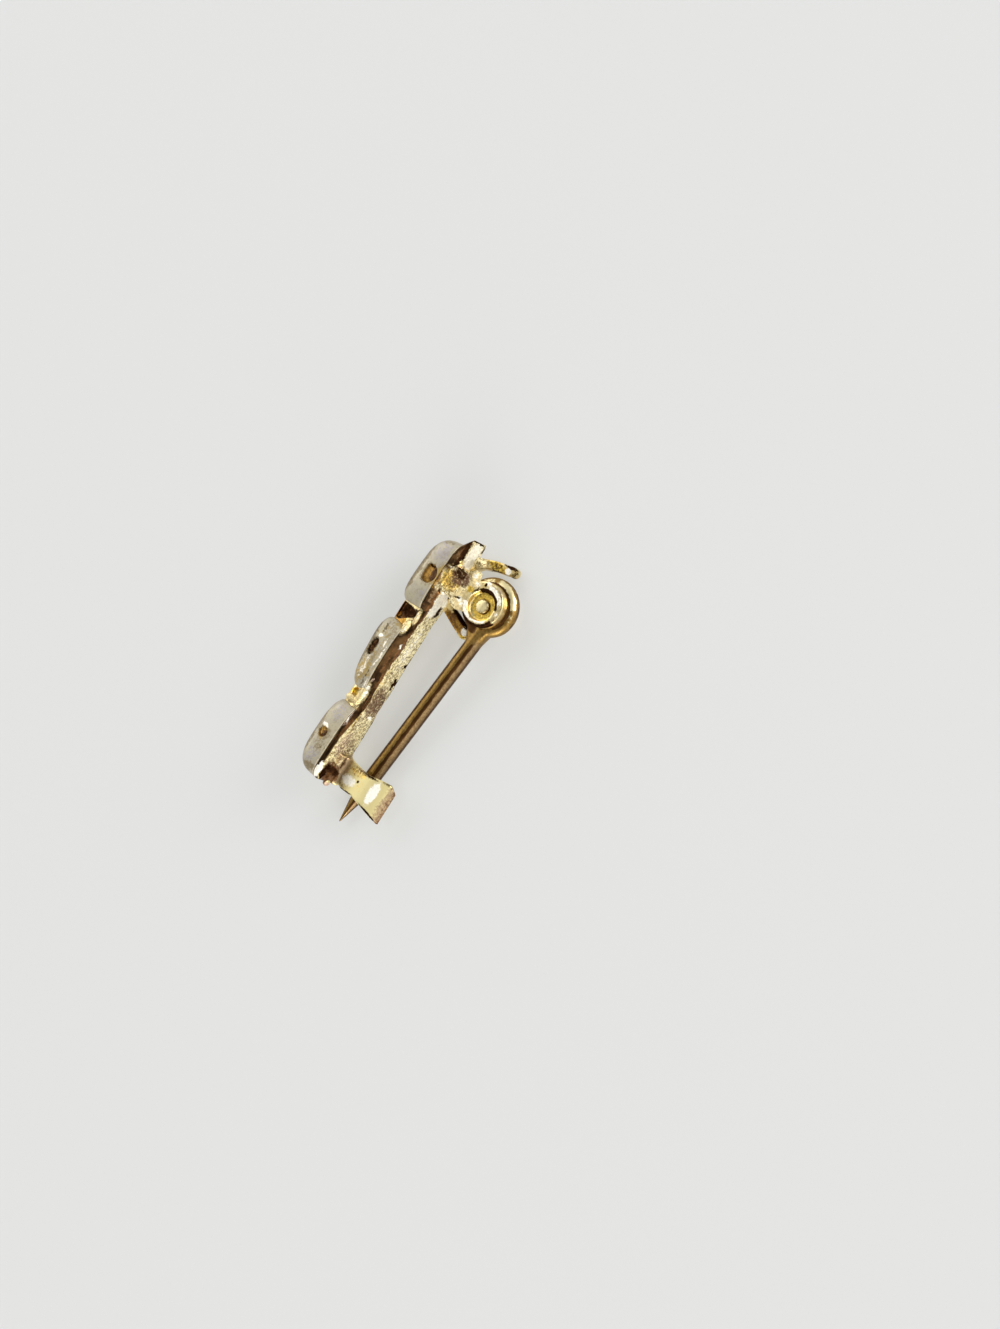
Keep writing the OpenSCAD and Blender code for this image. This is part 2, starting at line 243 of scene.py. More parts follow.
def raggedness(at):
    noise.seed_set(marks["seed"])
    shift = np.zeros((len(at), 3))
    for grains, reach in marks["wander"]:
        shift += reach * np.array([noise.noise_vector(Vector(p) * grains) for p in at])
    return shift


# Rows of spots: the part where only one is meant, along the bar in mm and across it in pixels
# of the photo, both half sizes, turn in degrees, strength
def spotValues(at, facing, ragged, rows, parts=None):
    x, w = onPhoto(at)
    px = view["pxPerMm"]
    values = np.zeros(len(at))
    for *part, x0, w0, halfX, halfW, turn, strength in rows:
        across = px * (x - x0) + ragged[:, 0]
        down = w - w0 + ragged[:, 1]
        c, s = math.cos(math.radians(turn)), math.sin(math.radians(turn))
        away = np.hypot((c * across + s * down) / (px * halfX), (c * down - s * across) / halfW)
        inside = parts[part[0]] if part else 1
        values = np.maximum(values, strength * (1 - rise(away, *marks["fade"])) * inside)
    return values * rise(facing @ np.array(viewAxes()[2]), *marks["turned"])


# Rows of arcs round the hinge: radius, half width, from and to in degrees, strength
def arcValues(at, ragged, rows):
    x, y = at[:, 0] - hingeX, at[:, 1] - hingeRise
    radius = np.hypot(x, y) + marks["arcWander"] * ragged[:, 2]
    inner, outer = marks["arcEdge"]
    ends = marks["arcEnds"]
    values = np.zeros(len(at))
    for middle, half, low, high, strength in rows:
        turn = (np.degrees(np.arctan2(y, x)) - low) % 360
        inside = rise(turn, 0, ends) * (1 - rise(turn, high - low - ends, high - low))
        ring = 1 - rise(np.abs(radius - middle), inner * half, outer * half)
        values = np.maximum(values, strength * inside * ring)
    return values


def finishPiece(piece, material, body, slot, *nodes):
    piece.data.transform(Matrix.Scale(mm, 4))
    piece.data.materials.clear()
    piece.data.materials.append(material)
    piece.data.polygons.foreach_set("use_smooth", [True] * len(piece.data.polygons))
    piece.data.update()
    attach(piece, body)
    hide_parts(*nodes)
    print(piece.name, "has", sum(len(p.vertices) - 2 for p in piece.data.polygons), "triangles")


# Shared effects

def newGroup(name, inputs, outputs):
    group = bpy.data.node_groups.new(name, "ShaderNodeTree")
    for label, value in inputs.items():
        socket = group.interface.new_socket(label, in_out="INPUT", socket_type="NodeSocketFloat")
        socket.default_value = value
    for label in outputs:
        group.interface.new_socket(label, in_out="OUTPUT", socket_type="NodeSocketFloat")
    start = group.nodes.new("NodeGroupInput")
    end = group.nodes.new("NodeGroupOutput")
    return group, start, end


# Inputs are given by name, or by number as _0, _1 and _2
def place(tree, kind, settings=None, **values):
    node = tree.nodes.new(kind)
    for label, value in (settings or {}).items():
        setattr(node, label, value)
    for label, value in values.items():
        socket = node.inputs[int(label[1:])] if label[0] == "_" else node.inputs[label]
        if isinstance(value, bpy.types.NodeSocket):
            tree.links.new(value, socket)
        else:
            socket.default_value = value
    return node


def maths(tree, operation, a, b=0.0, c=0.0):
    return place(tree, "ShaderNodeMath", {"operation": operation}, _0=a, _1=b, _2=c).outputs[0]


def millimetres(tree, stretch=(1, 1, 1)):
    coords = place(tree, "ShaderNodeTexCoord").outputs["Object"]
    scale = tuple(s / mm for s in stretch)
    return place(tree, "ShaderNodeVectorMath", {"operation": "MULTIPLY"}, _0=coords, _1=scale).outputs[0]


def noiseAt(tree, where, scale, detail, roughness):
    values = {"Vector": where, "Scale": scale, "Detail": detail, "Roughness": roughness}
    return place(tree, "ShaderNodeTexNoise", None, **values).outputs["Fac"]


def ranged(tree, value, low, high, toLow=0.0, toHigh=1.0):
    node = place(tree, "ShaderNodeMapRange", {"interpolation_type": "SMOOTHSTEP"}, Value=value)
    for label, given in {"From Min": low, "From Max": high, "To Min": toLow, "To Max": toHigh}.items():
        if isinstance(given, bpy.types.NodeSocket):
            tree.links.new(given, node.inputs[label])
        else:
            node.inputs[label].default_value = given
    return node.outputs["Result"]


castGrain = {
    "finer": 2.7,  # times finer than the coarse grains
    "coarseShare": 0.6,
    "cellBlend": 0.35,
    "pitEdge": (0.1, 0.5),
    "pitDepth": 0.5,
    "tones": (0.4, 0.57),
}


def makeCastGroup():
    group, start, end = newGroup("castGrain", {"Grains per mm": 5.0, "Pits": 0.5}, ["Height", "Tone"])
    where = millimetres(group)
    grains = start.outputs["Grains per mm"]
    share = castGrain["coarseShare"]
    coarse = noiseAt(group, where, grains, detail=2.0, roughness=0.5)
    finer = maths(group, "MULTIPLY", grains, castGrain["finer"])
    fine = noiseAt(group, where, finer, detail=2.0, roughness=0.6)
    cells = place(group, "ShaderNodeTexVoronoi", {"feature": "SMOOTH_F1"}, Vector=where, Scale=grains,
                  Smoothness=castGrain["cellBlend"])
    pitted = ranged(group, cells.outputs["Distance"], *castGrain["pitEdge"])
    height = maths(group, "MULTIPLY_ADD", coarse, share, maths(group, "MULTIPLY", fine, 1 - share))
    pits = maths(group, "MULTIPLY", pitted, start.outputs["Pits"])
    deep = maths(group, "MULTIPLY", pits, castGrain["pitDepth"])
    group.links.new(maths(group, "SUBTRACT", height, deep), end.inputs["Height"])
    tone = maths(group, "MULTIPLY_ADD", fine, 0.5, maths(group, "MULTIPLY", coarse, 0.5))
    group.links.new(ranged(group, tone, *castGrain["tones"]), end.inputs["Tone"])
    return group


def makeCloudGroup():
    inputs = {"Clouds per mm": 0.8, "Cover": 0.5, "Edge": 0.08}
    group, start, end = newGroup("noiseClouds", inputs, ["Mask"])
    cloud = noiseAt(group, millimetres(group), start.outputs["Clouds per mm"], detail=4.0, roughness=0.6)
    low = maths(group, "SUBTRACT", start.outputs["Cover"], start.outputs["Edge"])
    high = maths(group, "ADD", start.outputs["Cover"], start.outputs["Edge"])
    group.links.new(ranged(group, cloud, low, high), end.inputs["Mask"])
    return group


brushing = {"stretch": (0.12, 1, 1), "tones": (0.35, 0.65)}


def makeBrushGroup():
    group, start, end = newGroup("brushLines", {"Lines per mm": 6.0}, ["Height", "Tone"])
    where = millimetres(group, brushing["stretch"])
    lines = noiseAt(group, where, start.outputs["Lines per mm"], detail=3.0, roughness=0.6)
    group.links.new(lines, end.inputs["Height"])
    group.links.new(ranged(group, lines, *brushing["tones"]), end.inputs["Tone"])
    return group


raggedEdging = {"specksPerMm": 6.0, "edge": (0.25, 0.7), "outside": 0.15}


# A painted mask with a ragged edge, which noise moves by as much as Wander says
def makeRaggedCoverGroup():
    group, start, end = newGroup("raggedCoverEdge", {"Mask": 0.0, "Wander": 1.5}, ["Cover"])
    painted = start.outputs["Mask"]
    specks = noiseAt(group, millimetres(group), raggedEdging["specksPerMm"], detail=4.0, roughness=0.7)
    centred = maths(group, "SUBTRACT", specks, 0.5)
    shifted = maths(group, "MULTIPLY_ADD", centred, start.outputs["Wander"], painted)
    covered = ranged(group, shifted, *raggedEdging["edge"])
    near = ranged(group, painted, 0, raggedEdging["outside"])
    group.links.new(maths(group, "MULTIPLY", covered, near), end.inputs["Cover"])
    return group


castGroup = makeCastGroup()
cloudGroup = makeCloudGroup()
brushGroup = makeBrushGroup()
raggedCoverGroup = makeRaggedCoverGroup()


def newMaterial(name):
    material = bpy.data.materials.new(name)
    material.use_nodes = True
    tree = material.node_tree
    return material, tree, tree.nodes["Principled BSDF"]


def useGroup(tree, group, **values):
    named = {label.replace("_", " "): value for label, value in values.items()}
    return place(tree, "ShaderNodeGroup", {"node_tree": group}, **named)


# The mix node takes its colours at inputs 6 and 7 and gives the blend at output 2
def blended(tree, factor, first, second):
    node = place(tree, "ShaderNodeMix", {"data_type": "RGBA"}, _0=factor)
    for socket, value in ((node.inputs[6], first), (node.inputs[7], second)):
        if isinstance(value, bpy.types.NodeSocket):
            tree.links.new(value, socket)
        else:
            socket.default_value = (*value, 1)
    return node.outputs[2]


def mask(tree, name):
    return place(tree, "ShaderNodeAttribute", {"attribute_name": name}).outputs["Fac"]


def raggedCover(tree, name, wander):
    return useGroup(tree, raggedCoverGroup, Mask=mask(tree, name), Wander=wander).outputs["Cover"]


def bumped(tree, height, depth):
    node = place(tree, "ShaderNodeBump", None, Height=height, Distance=depth * mm, Strength=1.0)
    return node.outputs["Normal"]


goldLook = {
    "warm": (0.70, 0.50, 0.18),
    "cream": (0.88, 0.77, 0.44),
    "castLight": (0.96, 0.86, 0.53),
    "castDeep": (0.24, 0.17, 0.06),
    # The wall tones are a painted dark reflection on the rail's polished walls, lighter in cloudy patches
    "wall": (0.028, 0.015, 0.007),
    "wallLighterReflection": (0.11, 0.06, 0.024),
    "pale": (0.70, 0.61, 0.30),
    "olive": (1.0, 0.68, 0.12),
    "amber": (0.46, 0.25, 0.05),
    # Rose, tan and brown are in part painted glints, reflection and shade, on the walls, the ear's ring,
    # the catch's lip, the pit and the holes, and in part stains
    "rose": (0.70, 0.50, 0.38),
    "tan": (0.42, 0.30, 0.17),
    "brown": (0.16, 0.075, 0.03),
    # Butter is also a painted reflection round the ear's ring
    "butter": (0.82, 0.66, 0.34),
    # Dark is painted shade in pits, dents, holes and along outlines, with a few dark stains
    "shadeAndStain": (0.045, 0.018, 0.007),
    # Bright is the colour of painted highlights
    "paintedHighlight": (1.0, 0.97, 0.87),
    # The stains and painted light in the order that they are laid, and how deep the grain makes each one;
    # the dark tone is painted shade with a few dark stains, the bright tone painted highlights
    "mottling": {
        "olive": 0.55, "amber": 0.55, "rose": 0.7, "tan": 0.8, "brown": 0.5, "butter": 0.7,
        "shadeAndStain": 0.5, "paintedHighlight": 0.82,
    },
    "wander": 1.5,
    "highlightWander": 1.8,
    "grain": {"Grains_per_mm": 5.0, "Pits": 0.6},
    "clouds": {"Clouds_per_mm": 1.3, "Cover": 0.5, "Edge": 0.16},
    "grainDepth": 0.08,
    "smoothShare": 0.15,  # of the grain's depth, off the cast parts
    # How far each finish and the painted highlights are from plain metal, and from where on it is as rough
    # as it gets
    "matt": {"cast": 0.6, "satin": 0.45, "paintedHighlight": 0.75},
    "mattFull": 0.6,
    "roughness": (0.28, 0.5),
    "darkRoughness": 0.6,
}


def goldMaterial():
    look = goldLook
    material, tree, shader = newMaterial("yellowGold")
    grain = useGroup(tree, castGroup, **look["grain"])
    clouds = useGroup(tree, cloudGroup, **look["clouds"])
    # Painted shade with a few dark stains, and the rest outside them
    shadeAndStain = raggedCover(tree, "shadeAndStain", look["wander"])
    unshadedUnstained = maths(tree, "SUBTRACT", 1.0, shadeAndStain)
    # Painted highlights, kept off the painted shade
    paintedHighlight = maths(tree, "MULTIPLY", raggedCover(tree, "paintedHighlight", look["highlightWander"]), unshadedUnstained)
    covers = {"cast": mask(tree, "cast"), "satin": mask(tree, "satin"), "shadeAndStain": shadeAndStain, "paintedHighlight": paintedHighlight}
    body = blended(tree, clouds.outputs["Mask"], look["warm"], look["cream"])
    coarse = blended(tree, grain.outputs["Tone"], look["castDeep"], look["castLight"])
    # Painted dark reflection on the walls, lighter in cloudy patches
    wall = blended(tree, clouds.outputs["Mask"], look["wall"], look["wallLighterReflection"])
    colour = blended(tree, covers["cast"], body, coarse)
    colour = blended(tree, covers["satin"], colour, look["pale"])
    colour = blended(tree, mask(tree, "wall"), colour, wall)
    for name, mottling in look["mottling"].items():
        deeper = tuple(v * mottling for v in look[name])
        tone = blended(tree, grain.outputs["Tone"], deeper, look[name])
        cover = covers[name] if name in covers else raggedCover(tree, name, look["wander"])
        colour = blended(tree, cover, colour, tone)
    tree.links.new(colour, shader.inputs["Base Color"])
    matt = 0.0
    for name, amount in look["matt"].items():
        matt = maths(tree, "MAXIMUM", matt, maths(tree, "MULTIPLY", covers[name], amount))
    matt = maths(tree, "MULTIPLY", matt, unshadedUnstained)
    tree.links.new(maths(tree, "SUBTRACT", 1.0, matt), shader.inputs["Metallic"])
    rough = ranged(tree, matt, 0, look["mattFull"], *look["roughness"])
    dull = maths(tree, "MULTIPLY", shadeAndStain, look["darkRoughness"])
    tree.links.new(maths(tree, "MAXIMUM", rough, dull), shader.inputs["Roughness"])
    # Reflections turn dark under the painted shade
    tinted = ranged(tree, mask(tree, "shadeAndStain"), *raggedEdging["edge"])
    tree.links.new(blended(tree, tinted, (1, 1, 1), look["shadeAndStain"]), shader.inputs["Specular Tint"])
    deep = ranged(tree, covers["cast"], 0, 1, look["smoothShare"], 1.0)
    height = maths(tree, "MULTIPLY", grain.outputs["Height"], deep)
    tree.links.new(bumped(tree, height, look["grainDepth"]), shader.inputs["Normal"])
    return material


whiteLook = {
    "warm": (0.46, 0.41, 0.285),
    "cool": (0.40, 0.36, 0.29),
    "deep": (0.22, 0.19, 0.13),
    # Violet is a painted lavender sheen
    "violetSheen": (0.37, 0.34, 0.34),
    # Beige is painted shade at the crests, outer ends and inside the holes, and a beige tint in a few
    # patches
    "beigeShadeAndTint": (0.24, 0.19, 0.11),
    "gilt": (0.40, 0.28, 0.09),
    # Dusk is painted shade at the crests, in the slot and holes, with a few dark streaks
    "shadeAndStreaks": (0.10, 0.07, 0.03),
    # Shine is painted highlights
    "paintedShine": (0.98, 0.93, 0.80),
    # Painted sheen, painted shade with a few dark streaks, painted highlights and a gold tint
    "stainsAndPaintedLight": ["violetSheen", "beigeShadeAndTint", "gilt", "shadeAndStreaks", "paintedShine"],  # in the order that they are laid
    "wander": 2.1,
    "brush": {"Lines_per_mm": 4.0},
    "specks": {"Grains_per_mm": 4.0, "Pits": 0.2},
    "clouds": {"Clouds_per_mm": 0.7, "Cover": 0.5, "Edge": 0.2},
    "speckTone": 0.55,
    "speckle": 0.3,
    "metallic": 0.55,
    "roughness": (0.4, 0.55),
    "speckHeight": 0.5,
    "bumpDepth": 0.012,
}


def whiteMaterial():
    look = whiteLook
    material, tree, shader = newMaterial("whiteSatin")
    brush = useGroup(tree, brushGroup, **look["brush"])
    specks = useGroup(tree, castGroup, **look["specks"])
    clouds = useGroup(tree, cloudGroup, **look["clouds"])
    colour = blended(tree, clouds.outputs["Mask"], look["cool"], look["warm"])
    # Painted sheen, painted shade, painted highlights and tints over the base colour
    for name in look["stainsAndPaintedLight"]:
        colour = blended(tree, raggedCover(tree, name, look["wander"]), colour, look[name])
    speckled = ranged(tree, specks.outputs["Tone"], look["speckTone"], 0.0, 0.0, look["speckle"])
    colour = blended(tree, speckled, colour, look["deep"])
    tree.links.new(colour, shader.inputs["Base Color"])
    shader.inputs["Metallic"].default_value = look["metallic"]
    rough = ranged(tree, brush.outputs["Tone"], 0, 1, *look["roughness"])
    tree.links.new(rough, shader.inputs["Roughness"])
    speckled = maths(tree, "MULTIPLY", specks.outputs["Height"], look["speckHeight"])
    height = maths(tree, "ADD", speckled, brush.outputs["Height"])
    tree.links.new(bumped(tree, height, look["bumpDepth"]), shader.inputs["Normal"])
    return material


bronzeLook = {
    "olive": (0.29, 0.175, 0.045),
    # Tan is a painted reflection on the wire's far side; brown is the specks' colour and also painted shade
    # and a painted dark line; light is painted highlights
    "tan": (0.24, 0.16, 0.076),
    "brown": (0.075, 0.032, 0.008),
    "light": (0.80, 0.69, 0.39),
    "evenness": {"olive": 0.6, "tan": 0.45},  # of the two tones under their brown specks
    "shadeWander": 1.2,
    "highlightWander": 1.5,
    "brush": {"Lines_per_mm": 5.0},
    "specks": {"Grains_per_mm": 6.0, "Pits": 0.3},
    "clouds": {"Clouds_per_mm": 1.6, "Cover": 0.5, "Edge": 0.12},
    "metallic": 0.92,
    "roughness": (0.34, 0.44),
    "bumpDepth": 0.01,
}


def bronzeMaterial():
    look = bronzeLook
    material, tree, shader = newMaterial("stemBronze")
    brush = useGroup(tree, brushGroup, **look["brush"])
    specks = useGroup(tree, castGroup, **look["specks"])
    clouds = useGroup(tree, cloudGroup, **look["clouds"])
    tones = {}
    for name, evenness in look["evenness"].items():
        speckled = blended(tree, specks.outputs["Tone"], look["brown"], look[name])
        tones[name] = blended(tree, evenness, speckled, look[name])
    # The wire's far side takes the tan tone, a painted reflection
    colour = blended(tree, mask(tree, "far"), tones["olive"], tones["tan"])
    # Painted shade and a painted dark reflection line along the wire
    colour = blended(tree, raggedCover(tree, "shadeAndStain", look["shadeWander"]), colour, look["brown"])
    # Painted highlights on the stem's eye and the rivet's head
    colour = blended(tree, raggedCover(tree, "paintedHighlight", look["highlightWander"]), colour, look["light"])
    tree.links.new(colour, shader.inputs["Base Color"])
    shader.inputs["Metallic"].default_value = look["metallic"]
    rough = ranged(tree, clouds.outputs["Mask"], 0, 1, *look["roughness"])
    tree.links.new(rough, shader.inputs["Roughness"])
    tree.links.new(bumped(tree, brush.outputs["Height"], look["bumpDepth"]), shader.inputs["Normal"])
    return material


yellowGold = goldMaterial()
whiteSatin = whiteMaterial()
stemBronze = bronzeMaterial()
print("materials made")


# White lobes

lobes = {
    "nodes": ["lobe_hinge_end", "lobe_middle", "lobe_catch_end"],
    "names": ["lobeHingeEnd", "lobeMiddle", "lobeCatchEnd"],
    "pitch": 5.9,
    "halfWidth": 1.5,
    # Columns: along the bar, depth of the rail's front face there
    "seats": [[-8.85, 0.27], [-3.2, 0.44], [-2.6, 0.6], [3, 0.6], [3.4, 0.46], [8.85, 0.58]],
    "seatGap": 0.01,
    "crests": [2.24, 2.34, 2.3],
    "leans": [0.035, -0.04, 0.015],
    "crownSquare": 3.8,
    # For each low and high side: reach, squareness of the profile, squareness of the outline
    "ends": [
        [[2.5, 3.1, 4.4], [2.5, 5, 3.2]],
        [[2.37, 4.9, 3.4], [2.85, 4.2, 3]],
        [[2.35, 4.4, 2.8], [2.94, 3, 4.8]],
    ],
    # The hollow that fits over the gold core, and its from, to and height where the necks are
    "core": {"halfWidth": 0.97, "square": 2.5, "from": 0.2, "rise": 1.92, "low": -7.47, "high": 8.12},
    "necks": [[-3.68, -2.18, 2.12], [2.53, 3.87, 1.97]],
    # Along from the lobe's middle, height, half length, half height, squareness in front and behind
    "holes": [
        [0.07, 0.94, 0.62, 0.5, 5, 1.8],
        [-0.1, 1.62, 0.57, 0.28, 2.6, 2.6],
        [0.2, 1.40, 0.36, 0.34, 2, 2],
    ],
    "spots": {
        # Painted shade at the crests, in the slot and holes, and a few dark streaks
        "shadeAndStreaks": [
            [-1.45, -38.8, 0.5, 1.5, 0, 0.75], [-1.1, -45.2, 1.0, 1.4, 2, 0.5],
            [1.65, -31, 0.6, 0.7, 0, 0.7], [-0.05, -41, 0.8, 3.6, 0, 0.7],
            [-5.5, -43.4, 1.8, 1.3, -2, 0.4], [6.85, -29, 0.4, 3, 0, 0.3],
            [0.9, -34, 0.7, 0.6, 2, 0.35], [2.2, -30.5, 0.2, 1.4, 0, 0.6],
        ],
        # Painted shade at the crests, outer ends and inside the holes, and a beige tint in a few patches
        "beigeShadeAndTint": [
            [-1.5, -33, 0.8, 7, 0, 0.5], [1.6, -36, 0.9, 6, 0, 0.5],
            [-5.8, -43.2, 2.3, 2.4, -1, 0.9], [0.1, -45.2, 2.3, 2.6, 2, 0.9],
            [6.4, -43.8, 2.2, 2, 0, 0.7], [1.0, -34, 1.3, 2, 1, 0.6],
            [8.4, -30, 0.3, 8, 0, 0.7], [-5.9, -24, 0.9, 3, 0, 0.8],
            [7.0, -33, 0.6, 5, 0, 0.5], [-8.1, -32, 0.2, 8, 10, 0.5],
            [-5.75, -30, 0.8, 10, 0, 0.6], [6.2, -35.5, 0.55, 7, 0, 0.8],
        ],
        # Painted highlights
        "paintedShine": [
            [-0.86, -39.5, 0.13, 2, 0, 1], [5.7, -37.5, 0.18, 3.2, 0, 0.95],
            [1.2, -37.5, 1.0, 2, 2, 0.45], [0.3, -29.3, 1.0, 1.2, -1, 0.6],
            [-0.6, -32, 0.45, 1, 0, 0.5], [2.2, -27, 0.4, 1.4, 0, 0.6],
        ],
        "gilt": [
            [0.2, -37, 2.6, 11, 0, 0.34], [1.5, -36, 0.9, 8, 0, 0.62],
            [-5.95, -23.5, 0.9, 4, 0, 0.8], [-5.75, -26, 0.8, 5, 0, 0.45],
            [-2.05, -27, 0.25, 9, 0, 0.5], [6.2, -36, 0.5, 6, 0, 0.5],
            [2.35, -37, 0.3, 4, 0, 0.5],
        ],
        # Painted sheen
        "violetSheen": [
            [-1.7, -31.5, 0.55, 4.5, 0, 0.4], [-7.4, -30, 0.8, 8, 0, 0.6],
            [-4.4, -28, 0.5, 4, 0, 0.45], [4.6, -33, 0.7, 7, 0, 0.5],
            [7.7, -34, 0.8, 7, 0, 0.5],
        ],
    },
    "voxel": 0.045,
    "smoothing": 4,
    "around": 160,
    "rings": 44,
    "lastRing": 88.5,  # degrees up to the crown, which the last point closes
    "coreSteps": 60,
    "holeSteps": 96,
    "holeReach": 3,
}


def seatAt(x):
    return float(np.interp(x, *zip(*lobes["seats"]))) + lobes["seatGap"]


def lobeSkin(index):
    around, rings = lobes["around"], lobes["rings"]
    square = lobes["crownSquare"]
    middle = (index - 1) * lobes["pitch"]
    points = []

    def skinPoint(along, level, z):
        seat = seatAt(middle + along)
        lean = 1 + lobes["leans"][index] * along
        depth = seat + level * (lobes["crests"][index] - seat) * lean
        return barMiddle + Vector((middle + along, -depth, z))

    for r in range(rings):
        a = math.radians(lobes["lastRing"] * r / (rings - 1))
        crown = math.cos(a) ** (2 / square)
        level = math.sin(a) ** (2 / square)
        for k in range(around):
            t = 2 * math.pi * (k + 0.5) / around
            reach, profile, outline = lobes["ends"][index][0 if math.cos(t) < 0 else 1]
            reach *= (1 - level ** profile) ** (1 / profile)
            z = lobes["halfWidth"] * crown * power(math.sin(t), 2 / outline)
            points.append(skinPoint(reach * power(math.cos(t), 2 / outline), level, z))
    points.append(skinPoint(0, 1, 0))
    return outwards(newPiece(lobes["names"][index], points, ringSkin(rings, around, True)))


def prism(name, outline, low, high, axis):
    points = []
    for end in (low, high):
        for a, b in outline:
            points.append(barMiddle + (Vector((a, b, end)) if axis == "z" else Vector((end, a, b))))
    return outwards(newPiece(name, points, ringSkin(2, len(outline))))


def coreCutter(low, high, height):
    core = lobes["core"]
    steps = lobes["coreSteps"]
    half = [
        (-core["from"] - (height - core["from"]) * power(math.sin(t), 2 / core["square"]),
         core["halfWidth"] * power(math.cos(t), 2 / core["square"]))
        for t in (math.pi * k / steps for k in range(steps + 1))
    ]
    return prism("coreCutter", half, low, high, "x")


def holeCutter(index):
    along, height, halfX, halfY, front, behind = lobes["holes"][index]
    middle = (index - 1) * lobes["pitch"] + along
    steps = lobes["holeSteps"]
    outline = []
    for k in range(steps):
        t = 2 * math.pi * k / steps
        square = behind if math.sin(t) > 0 else front
        outline.append((middle + halfX * power(math.cos(t), 2 / square),
                        -height + halfY * power(math.sin(t), 2 / square)))
    return prism("holeCutter", outline, -lobes["holeReach"], lobes["holeReach"], "z")


def makeLobe(index):
    piece = lobeSkin(index)
    core = lobes["core"]
    cutBy(piece, coreCutter(core["low"], core["high"], core["rise"]))
    for low, high, height in lobes["necks"]:
        cutBy(piece, coreCutter(low, high, height))
    cutBy(piece, holeCutter(index))
    fuse(piece, lobes["voxel"], lobes["smoothing"])
    at, facing = barPoints(piece)
    ragged = raggedness(at)
    for name, rows in lobes["spots"].items():
        paint(piece, name, spotValues(at, facing, ragged, rows))
    finishPiece(piece, whiteSatin, "bar", "white_metal", lobes["nodes"][index])


for index in range(len(lobes["nodes"])):
    makeLobe(index)


# Gold frame: rail, core, joint, prongs and catch, with the solder that ties them

